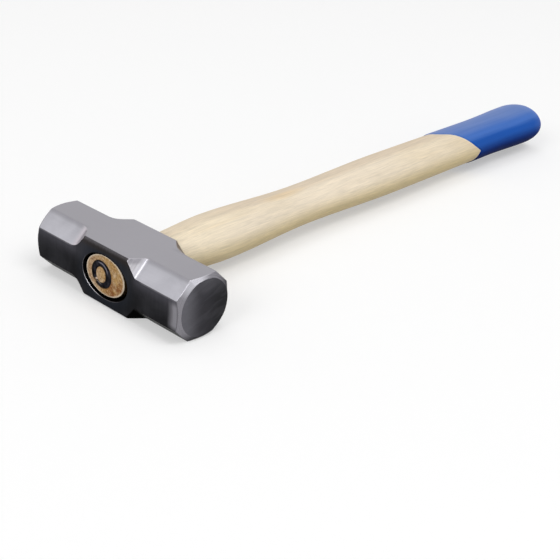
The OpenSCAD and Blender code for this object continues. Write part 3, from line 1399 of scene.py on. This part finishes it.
@dataclass(frozen=True)
class Head:
    """Forged octagonal head with turned bevels and an oval eye.

    Pairs for a back are (front, back) and other pairs (-X, +X), where they aren't (X, Z) or (Y, Z).
    """

    law: ShaftLaw
    length: float = 130.0
    width: float = 40.0
    chamfer_leg: float = 10.0
    block_half: float = 19.0
    run_out: float = 8.0
    foot_radii: tuple[Pair, Pair] = ((14.0, 3.0), (14.0, 30.0))
    block_legs: Pair = (1.2, 0.4)
    block_radii: Pair = (1.3, 0.8)
    block_blend: float = 0.7
    edge_radius: float = 0.6
    edge_rate: float = 2.5
    face_radii: Pair = (19.8, 18.6)
    face_shifts: Pair = (0.0, 0.35)
    bevel_depths: Pair = (1.8, 2.5)
    bevel_powers: Pair = (1.0, 0.5)
    brink_radii: Pair = (0.4, 0.3)
    brink_share: float = 0.4
    crown: Pair = (0.7, 0.5)
    crown_inset: float = 0.6
    bevel_steps: tuple[int, int] = (3, 5)
    eye_play: float = 0.1
    mouth_flare: Pair = (3.0, 1.2)
    flare_depth: float = 13.0
    flare_steps: int = 12
    mouth_lip: float = 0.22
    lip_steps: int = 5
    eye_sides: int = 96
    overrun: float = 1.0
    flat_steps: int = 14
    arc_steps: int = 4
    chamfer_steps: int = 8
    stations: tuple[float, ...] = (
        *(0.0, 7.0, 13.0, 16.5, 18.2),
        *(18.7 + 0.25 * k for k in range(10)),
        *(21.6, 22.6, 23.6, 24.6, 25.4),
        *(26.0 + 0.3 * k for k in range(9)),
        *(29.4, 30.4, 31.4, 32.4, 34.0, 40.0, 47.0, 54.0, 60.0),
    )
    crisp: float = 28.0
    eye_box: Pair = (21.9, 15.6)
    eye_corner: float = 29.5
    margins: tuple[float, float, float, float] = (0.002, 0.02, 0.05, 0.5)
    block_margin: float = 1.0
    flat_normal: float = 0.97
    cheek_normals: Pair = (0.94, 0.8)

    @property
    def half(self) -> float:
        """Half the head's width."""
        return self.width / 2

    def chamfer_at(self, x: float, back: bool) -> float:
        """Leg of a long chamfer at a place along the head.

        Args:
            x: Place along the head.
            back: Whether the chamfer is on the handle's side.

        Returns:
            The chamfer's leg.
        """
        root = math.sqrt(2)
        radius = self.foot_radii[back][x > 0]
        x = abs(x)
        flat = (self.width - self.chamfer_leg) / root
        foot = self.block_half + self.run_out
        slope = math.atan2(self.width / root - flat, self.run_out)
        end = foot + radius * math.tan(slope / 2)
        if x >= end:
            reach = flat
        elif x > end - radius * math.sin(slope):
            reach = flat + radius - math.sqrt(radius**2 - (end - x) ** 2)
        else:
            reach = flat + (foot - x) * math.tan(slope)
        return soft_max(self.block_legs[back], self.width - root * reach, self.block_blend)

    def section(self, x: float) -> list[Pair]:
        """The head's outline across its length.

        Args:
            x: Place along the head.

        Returns:
            Points about the head's axis, the same number at every place.
        """
        legs, reaches = [self.chamfer_at(x, back) for back in (False, True)], []
        for leg, least, radius in zip(legs, self.block_legs, self.block_radii):
            share = min(1.0, (leg - least) / (self.chamfer_leg - least) * self.edge_rate)
            reaches.append(lerp(radius, self.edge_radius, share) * math.tan(math.pi / 8))
        h = self.half
        found = []
        for quarter in range(4):
            back, before = quarter in (0, 3), quarter in (1, 0)
            leg, reach = legs[back], reaches[back]
            slant = reach / math.sqrt(2)
            start, end = (h, -(h - legs[before] - reaches[before])), (h, h - leg - reach)
            first, last = (h - slant, h - leg + slant), (h - leg + slant, h - slant)
            corner = run(start, end, self.flat_steps)
            corner += [tuple(p) for p in bend(end, (h, h - leg), first, self.arc_steps)[:-1]]
            corner += run(first, last, self.chamfer_steps)
            corner += [tuple(p) for p in bend(last, (h - leg, h), end[::-1], self.arc_steps)[:-1]]
            c, s = ((1, 0), (0, 1), (-1, 0), (0, -1))[quarter]
            found += [(y * c - z * s, y * s + z * c) for y, z in corner]
        return found

    def bevel_profile(self, y: float, z: float, side: int) -> list[Vector]:
        """How one point of the outline runs over the turned bevel to the striking face.

        Args:
            y: The point's place across the head, from its axis.
            z: The point's height, from its axis.
            side: 0 for the end towards -X, 1 for the end towards +X.

        Returns:
            Pairs of place along the head and distance from its axis.
        """
        radius = math.hypot(y, z)
        end, face = self.length / 2, self.face_radii[side] + self.face_shifts[side] * y / radius
        corner = math.hypot(self.half, self.half - self.chamfer_leg)
        wall = radius - face
        start = end - self.bevel_depths[side] * (wall / (corner - face)) ** self.bevel_powers[side]
        cone = Vector(((start - end) / wall, 1.0)).normalized()
        brink, crown = Vector((start, radius)), Vector((end, face))
        soft = self.brink_radii[side]
        outer_steps, inner_steps = self.bevel_steps
        below = brink - cone * min(soft, wall * self.brink_share)
        above = crown + cone * min(self.crown[0], wall * self.crown[1])
        outer = bend((start - soft, radius), brink, below, outer_steps)
        return outer + bend(above, crown, (end, face - self.crown_inset), inner_steps)

    def half_sections(self, side: int) -> list[list[Point]]:
        """Sections from the middle of the head to one of its striking faces.

        Args:
            side: 0 for the end towards -X, 1 for the end towards +X.

        Returns:
            Points of each section.
        """
        sign = 1 if side else -1
        made = [
            [(sign * x, y, AXIS_HEIGHT + z) for y, z in self.section(sign * x)]
            for x in self.stations
        ]
        outline = self.section(sign * self.length / 2)
        profiles = [self.bevel_profile(y, z, side) for y, z in outline]
        for places in zip(*profiles):
            ring = []
            for place, (y, z) in zip(places, outline):
                scale = place.y / math.hypot(y, z)
                ring.append((sign * place.x, y * scale, AXIS_HEIGHT + z * scale))
            made.append(ring)
        return made

    def eye_cutter(self) -> Mesh:
        """The eye's hollow: a straight oval bore with two flared mouths.

        Returns:
            The cutter's mesh.
        """
        rings, lip = [], self.mouth_lip
        for k in range(self.flare_steps + 1):
            t = k / self.flare_steps
            y = self.half - lip - self.flare_depth * (1 - t)
            rings.append((y, *(self.eye_play + flare * t * t for flare in self.mouth_flare)))
        _, gx, gz = rings[-1]
        for k in range(1, self.lip_steps + 1):
            a = math.pi / 2 * k / self.lip_steps
            more = lip * (1 - math.cos(a))
            rings.append((self.half - lip * (1 - math.sin(a)), gx + more, gz + more))
        rings.append((self.half + self.overrun, gx + lip, gz + lip))
        ends = [(-y, gx, gz) for y, gx, gz in reversed(rings)] + rings
        return loft([self.law.oval(y, (gx, gz), self.eye_sides) for y, gx, gz in ends])

    def zone(self, face: bmesh.types.BMFace) -> int:
        """The finish of one face of the head.

        Args:
            face: A face of the finished mesh.

        Returns:
            The material slot's number.
        """
        hair, thin, near, wide = self.margins
        flat, (block, shank) = self.flat_normal, self.cheek_normals
        centre, normal = face.calc_center_median() / MM, face.normal
        x, y, z = abs(centre.x), abs(centre.y), abs(centre.z - AXIS_HEIGHT)
        cut_off = x > self.block_half and y + z > self.eye_corner
        in_box = x < self.eye_box[0] and z < self.eye_box[1] and not cut_off
        inside = max(y, z) < self.half - thin and y + z < self.width - self.chamfer_leg - thin
        if abs(normal.x) > flat and x > self.length / 2 - near:
            found = Zone.STRIKING_FACE
        elif y < self.half - hair and in_box:
            found = Zone.LIP if y > self.half - self.mouth_lip else Zone.BORE
        elif x > self.length / 2 - max(self.bevel_depths) - wide and inside:
            found = Zone.BEVEL
        elif x < self.block_half + self.block_margin:
            found = Zone.CHEEK if abs(normal.z) > block else Zone.EYE_FACE
        elif abs(normal.y) > flat:
            found = Zone.EYE_FACE
        else:
            found = Zone.CHEEK if abs(normal.z) > shank else Zone.CHAMFER
        return found.value

    def build(self, effects: Effects) -> bpy.types.Object:
        """Makes and dresses the head.

        Args:
            effects: Shared node groups.

        Returns:
            The head's object.
        """
        piece = make_object(
            "forged_head", loft(self.half_sections(0)[:0:-1] + self.half_sections(1))
        )
        carve(piece, self.eye_cutter())
        tidy_mesh(piece, self.crisp, self.zone)
        level_normals(piece)
        finishes: dict[Zone, Finish] = {
            Zone.CHEEK: GroundCheek("ground_cheek"),
            Zone.CHAMFER: GroundChamfer("ground_chamfer"),
            Zone.BEVEL: TurnedBevel("turned_bevel"),
            # eye faces painted near-black as a painted reflection of a dark surround
            Zone.EYE_FACE: OilBlack("oil_black_face"),
            Zone.STRIKING_FACE: StruckSteel("struck_face"),
            # the bore is painted near-black as painted shadow
            Zone.BORE: Finish(
                "eye_bore", Tone.BORE, stretch=(300.0, 60.0, 300.0), gloss=(0.56, 0.64)
            ),
            Zone.LIP: EyeLip("eye_lip"),
        }
        dress(piece, effects, *(finishes[zone] for zone in Zone))
        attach(piece, "root")
        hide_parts("head")
        return piece


@dataclass(frozen=True)
class Handle:
    """Oval ash handle whose tenon fills the eye."""

    law: ShaftLaw
    ring: RingShape = RingShape()
    line: DippedLine = DippedLine()
    sides: int = 96
    steps: int = 9
    dome_steps: int = 14
    tenon_edge: float = 0.5
    tenon_turns: Point = (math.pi / 2, math.pi / 3, math.pi / 6)
    tenon_places: tuple[float, ...] = (-16.0, -13.0, -10.0, -7.0, -3.0)
    shaft_start: float = 2.0
    slot_play: float = 0.25
    slot_depth: float = 16.6
    slot_floor: float = 1.4
    crisp: float = 40.0
    touch: float = 0.1
    end_normal: float = -0.7
    soot_reach: float = 40.0

    @property
    def start(self) -> float:
        """Where the tenon's end lies."""
        return self.law.stations[0][0]

    def sections(self) -> list[list[Point]]:
        """Sections from the tenon's end to the butt.

        Returns:
            Points of each section.
        """
        edge = self.tenon_edge
        rows = [
            (self.start + edge * (1 - math.sin(a)), -edge * (1 - math.cos(a)))
            for a in self.tenon_turns
        ]
        places = [
            self.start + edge, *self.tenon_places, *self.law.places(self.shaft_start, self.steps)
        ]
        rows += [(y, 0.0) for y in places]
        made = [self.law.oval(y, (grow, grow), self.sides, True) for y, grow in rows]
        return made + self.law.dome(self.dome_steps, self.sides)

    def slot_cutter(self) -> Mesh:
        """The round slot that the ring wedge fills, open at the end grain.

        Returns:
            The cutter's mesh.
        """
        inner, outer = self.ring.hole, self.ring.outer + self.slot_play
        cx, cz = self.ring.centre
        front, back = self.start - 1, self.start + self.slot_depth
        bm = bmesh.new()
        corners = [(inner, front), (outer, front), (outer, back), (outer - self.slot_floor, back)]
        face = bm.faces.new([bm.verts.new(Vector((cx + r, y, cz)) * MM) for r, y in corners])
        bmesh.ops.spin(
            bm, geom=[face, *face.edges, *face.verts], cent=Vector((cx, 0, cz)) * MM,
            axis=(0, 1, 0), angle=math.tau, steps=self.sides, use_merge=True, use_duplicate=False,
        )
        bmesh.ops.remove_doubles(bm, verts=bm.verts, dist=SLIVER * MM)
        inner_faces = [f for f in bm.faces if all(len(e.link_faces) > 2 for e in f.edges)]
        bmesh.ops.delete(bm, geom=inner_faces, context="FACES_ONLY")
        for vert in bm.verts:
            dx, dz = vert.co.x / MM - cx, vert.co.z / MM - cz
            if math.hypot(dx, dz) < inner + self.touch:
                wall = self.ring.inner(math.degrees(math.atan2(dz, dx))) - self.slot_play
                scale = wall / math.hypot(dx, dz)
                vert.co = Vector((cx + dx * scale, vert.co.y / MM, cz + dz * scale)) * MM
        bmesh.ops.recalc_face_normals(bm, faces=bm.faces)
        return bm

    def zone(self, face: bmesh.types.BMFace) -> int:
        """The material slot of one face.

        Args:
            face: A face of the finished mesh.

        Returns:
            1 on the end grain, 2 in the slot and 0 elsewhere.
        """
        centre = face.calc_center_median() / MM
        if centre.y < self.start + 2 * self.touch and face.normal.y < self.end_normal:
            return 1
        radius = math.hypot(centre.x - self.ring.centre[0], centre.z - self.ring.centre[1])
        deep = centre.y < self.start + self.slot_depth + self.touch
        return 2 if deep and radius < self.ring.outer + self.slot_play + self.touch / 2 else 0

    def measure_gap(self, piece: bpy.types.Object) -> None:
        """Keeps each vertex's distance to the paint's edge, in metres, as an attribute.

        Args:
            piece: The handle's object.
        """
        gap = piece.data.attributes.new(PAINT_GAP, "FLOAT", "POINT")
        for vert, kept in zip(piece.data.vertices, gap.data):
            x, y, z = vert.co / MM
            wide, thick = self.law.half_sizes(y)
            turn = math.degrees(math.atan2((z - AXIS_HEIGHT) / thick, x / wide))
            kept.value = (self.line.at(turn) - y) * MM

    def build(self, effects: Effects) -> bpy.types.Object:
        """Makes and dresses the handle.

        Args:
            effects: Shared node groups.

        Returns:
            The handle's object.
        """
        piece = make_object("ash_handle", loft(self.sections()))
        carve(piece, self.slot_cutter())
        tidy_mesh(piece, self.crisp, self.zone)
        self.measure_gap(piece)
        level_normals(piece)
        # the slot's walls take the painted shadow all over
        slot = EndGrain("slot_wood", soot_reach=self.soot_reach)
        dress(piece, effects, PaleWood("pale_ash"), EndGrain("end_grain"), slot)
        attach(piece, "root")
        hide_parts("handle")
        return piece


@dataclass(frozen=True)
class RingWedge:
    """Rolled steel ring driven into the tenon, its thinned ends lapping past each other.

    A taper is the turn where it starts, the turn where it ends and how much it takes away.
    """

    ring: RingShape = RingShape()
    tip_share: float = 0.3
    seat: float = -18.7
    depth: float = 16.0
    edge: float = 0.35
    edge_share: float = 0.3
    start_angle: float = 233.0
    sweep: float = 392.0
    steps: int = 140
    first: Point = (0.0, 38.0, 1.45)
    last: Point = (343.0, 360.0, 1.1)
    tongue: float = 0.4
    slack: float = 0.05
    crisp: float = 50.0

    def walls(self, turn: float) -> Pair:
        """Inner and outer radius of the ring.

        Args:
            turn: Degrees from the ring's first end.

        Returns:
            Inner and outer radius.
        """
        inner, outer = self.ring.inner(self.start_angle + turn), self.ring.outer
        first, last = (ease((turn - a) / (b - a)) for a, b, _ in (self.first, self.last))
        low = lerp(inner + self.first[2], inner, first)
        high = lerp(outer, inner + self.last[2], last)
        tongue = clamp((turn - self.last[1]) / (self.sweep - self.last[1]))
        return low - self.slack * last, lerp(high, inner + self.tongue, tongue)

    def sections(self) -> list[list[Point]]:
        """Profiles of the strip round the ring.

        Returns:
            Points of each profile.
        """
        made = []
        front, back = self.seat, self.seat + self.depth
        for k in range(self.steps + 1):
            turn = self.sweep * k / self.steps
            low, high = self.walls(turn)
            edge = min(self.edge, (high - low) * self.edge_share)
            tip = high - (high - low) * self.tip_share
            near = edge * self.edge_share
            profile = [
                (low + edge, front), (high - edge, front), (high - near, front + near),
                (high, front + edge), (high, back), (tip, back), (low, front + edge),
                (low + near, front + near),
            ]
            a = math.radians(self.start_angle + turn)
            cx, cz = self.ring.centre
            made.append([(cx + r * math.cos(a), y, cz + r * math.sin(a)) for r, y in profile])
        return made

    def build(self, effects: Effects) -> bpy.types.Object:
        """Makes and dresses the ring wedge.

        Args:
            effects: Shared node groups.

        Returns:
            The ring's object.
        """
        piece = make_object("ring_wedge_steel", loft(self.sections()))
        tidy_mesh(piece, self.crisp)
        dress(piece, effects, WedgeSteel("rolled_wedge_steel"))
        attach(piece, "root")
        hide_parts("ring_wedge")
        return piece


@dataclass(frozen=True)
class GripCoating:
    """Dipped coat of paint over the butt, with a soft lip along its slanting line."""

    law: ShaftLaw
    line: DippedLine = DippedLine()
    coat: float = 0.6
    lip: float = 2.2
    lip_skin: float = 0.12
    sides: int = 144
    rows: int = 34
    row_power: float = 2.2
    dome_steps: int = 16
    crisp: float = 50.0

    def row(self, share: float, skin: float) -> list[Point]:
        """One ring of the coat between its edge and the dome.

        Args:
            share: From 0 at the paint's edge to 1 where the dome starts.
            skin: How thick the coat is, or 0 for the face against the wood.

        Returns:
            The ring's points.
        """
        end = self.law.stations[-1][0]
        found = []
        for k in range(self.sides):
            turn = math.tau * k / self.sides
            edge = self.line.at(math.degrees(turn))
            y = lerp(edge, end, share)
            wide, thick = self.law.half_sizes(y)
            rise = 1 - (1 - min(1.0, (y - edge) / self.lip)) ** 2
            grow = lerp(self.lip_skin, skin, rise) if skin else 0.0
            x, z = (wide + grow) * math.cos(turn), (thick + grow) * math.sin(turn)
            found.append((x, y, AXIS_HEIGHT + z))
        return found

    def side(self, skin: float) -> list[list[Point]]:
        """Rings of one side of the coat, closest together at its edge.

        Args:
            skin: How thick the coat is, or 0 for the side against the wood.

        Returns:
            Points of each ring.
        """
        shares = [(k / self.rows) ** self.row_power for k in range(self.rows + 1)]
        rows = [self.row(share, skin) for share in shares]
        return rows + self.law.dome(self.dome_steps, self.sides, skin)

    def build(self, effects: Effects) -> bpy.types.Object:
        """Makes and dresses the coat.

        Args:
            effects: Shared node groups.

        Returns:
            The coat's object.
        """
        piece = make_object("dipped_grip", loft(self.side(0.0)[::-1] + self.side(self.coat)))
        tidy_mesh(piece, self.crisp)
        level_normals(piece)
        dress(piece, effects, DippedPaint("blue_enamel"))
        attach(piece, "root")
        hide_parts("grip_coating")
        return piece


# ---------------------------------------------------------------- studio


def direction(azimuth: float, elevation: float) -> Vector:
    """Unit vector from the hammer outwards; azimuth 0 looks back along -Y and 90 along +X."""
    a, e = math.radians(azimuth), math.radians(elevation)
    return Vector((math.sin(a) * math.cos(e), -math.cos(a) * math.cos(e), math.sin(e)))


@dataclass(frozen=True)
class Softbox:
    """A large soft lamp aimed at the hammer; its lengths are in metres."""

    name: str
    azimuth: float
    elevation: float
    distance: float
    size: float
    power: float

    def build(self, target: Vector) -> None:
        """Hangs the lamp.

        Args:
            target: Point that it faces.
        """
        lamp = bpy.data.lights.new(self.name, "AREA")
        lamp.shape, lamp.size, lamp.energy = "DISK", self.size, self.power
        made = bpy.data.objects.new(self.name, lamp)
        bpy.context.scene.collection.objects.link(made)
        back = direction(self.azimuth, self.elevation)
        made.location = target + back * self.distance
        made.rotation_mode = "QUATERNION"
        made.rotation_quaternion = back.to_track_quat("Z", "Y")


@dataclass(frozen=True)
class Studio:
    """Floor, lamps, sky and camera; the floor, the clip and the target are in metres."""

    azimuth: float = 40.331
    elevation: float = 27.303
    roll: float = 4.884
    location: Point = (474.296, -417.165, 343.032)
    lens: float = 74.30
    sensor: float = 36.0
    clip: Pair = (0.01, 50.0)
    sky: Pair = (0.4, 0.99)
    floor_size: float = 4.4
    floor_drop: float = 0.05
    floor_glow: float = 0.4
    target: Point = (0.0, 0.15, 0.02)
    lamps: tuple[Softbox, ...] = (
        Softbox("key_softbox", 95.0, 60.0, 4.5, 2.4, 70.0),
        Softbox("top_softbox", -120.0, 80.0, 4.5, 3.0, 26.0),
        Softbox("front_softbox", 5.0, 35.0, 4.5, 2.4, 60.0),
        Softbox("bevel_strip", 112.0, 21.0, 2.0, 0.5, 1.0),
    )

    def build(self) -> None:
        """Sets the whole stage."""
        self._floor()
        self._sky()
        for lamp in self.lamps:
            lamp.build(Vector(self.target))
        self._camera()
        bpy.context.scene.view_settings.view_transform = "Standard"

    def _floor(self) -> None:
        """A pale floor that shows pale and throws back less light than it shows."""
        bm = bmesh.new()
        bmesh.ops.create_grid(bm, x_segments=1, y_segments=1, size=self.floor_size / 2)
        bmesh.ops.translate(bm, verts=bm.verts, vec=(0.0, 0.0, -self.floor_drop * MM))
        floor = make_object("studio_floor", bm)
        material = bpy.data.materials.new("floor_card")
        material.use_nodes = True
        material.node_tree.nodes.clear()
        graph = Graph(material.node_tree)
        seen = graph.seen()
        colour = graph.blend(seen, Tone.FLOOR_FILL, Tone.FLOOR)
        matt = graph.node("ShaderNodeBsdfDiffuse", {"Color": colour}).outputs["BSDF"]
        glow = graph.node("ShaderNodeEmission", {"Color": Tone.FLOOR}).outputs["Emission"]
        share = graph.both(seen, self.floor_glow)
        shown = graph.node("ShaderNodeMixShader", {0: share, 1: matt, 2: glow})
        graph.node("ShaderNodeOutputMaterial", {"Surface": shown.outputs["Shader"]})
        floor.data.materials.append(material)

    def _sky(self) -> None:
        """An even sky that shows white behind the floor."""
        world = bpy.data.worlds.new("studio_sky")
        bpy.context.scene.world = world
        world.use_nodes = True
        world.node_tree.nodes.clear()
        graph = Graph(world.node_tree)
        limits = {"Value": graph.seen(), "To Min": self.sky[0], "To Max": self.sky[1]}
        strength = graph.node("ShaderNodeMapRange", limits).outputs["Result"]
        back = graph.node("ShaderNodeBackground", {"Color": Tone.FLOOR, "Strength": strength})
        graph.node("ShaderNodeOutputWorld", {"Surface": back.outputs["Background"]})

    def _camera(self) -> None:
        """The camera at its measured place and turn."""
        back = direction(self.azimuth, self.elevation)
        right = Vector((0.0, 0.0, 1.0)).cross(back).normalized()
        up = back.cross(right)
        c, s = math.cos(math.radians(self.roll)), math.sin(math.radians(self.roll))
        turned = Matrix((right * c + up * s, up * c - right * s, back)).transposed()
        camera = bpy.data.cameras.new("camera")
        camera.lens, camera.sensor_width = self.lens, self.sensor
        camera.clip_start, camera.clip_end = self.clip
        made = bpy.data.objects.new("camera", camera)
        bpy.context.scene.collection.objects.link(made)
        made.matrix_world = Matrix.Translation(Vector(self.location) * MM) @ turned.to_4x4()
        bpy.context.scene.camera = made


def main() -> None:
    """Builds the hammer and its studio."""
    logging.basicConfig(level=logging.INFO, format="%(name)s: %(message)s")
    effects = Effects()
    law = ShaftLaw()
    Studio().build()
    for part in (Head(law), Handle(law), RingWedge(), GripCoating(law)):
        piece = part.build(effects)
        LOG.info("%s has %d faces", piece.name, len(piece.data.polygons))


if __name__ == "__main__":
    main()
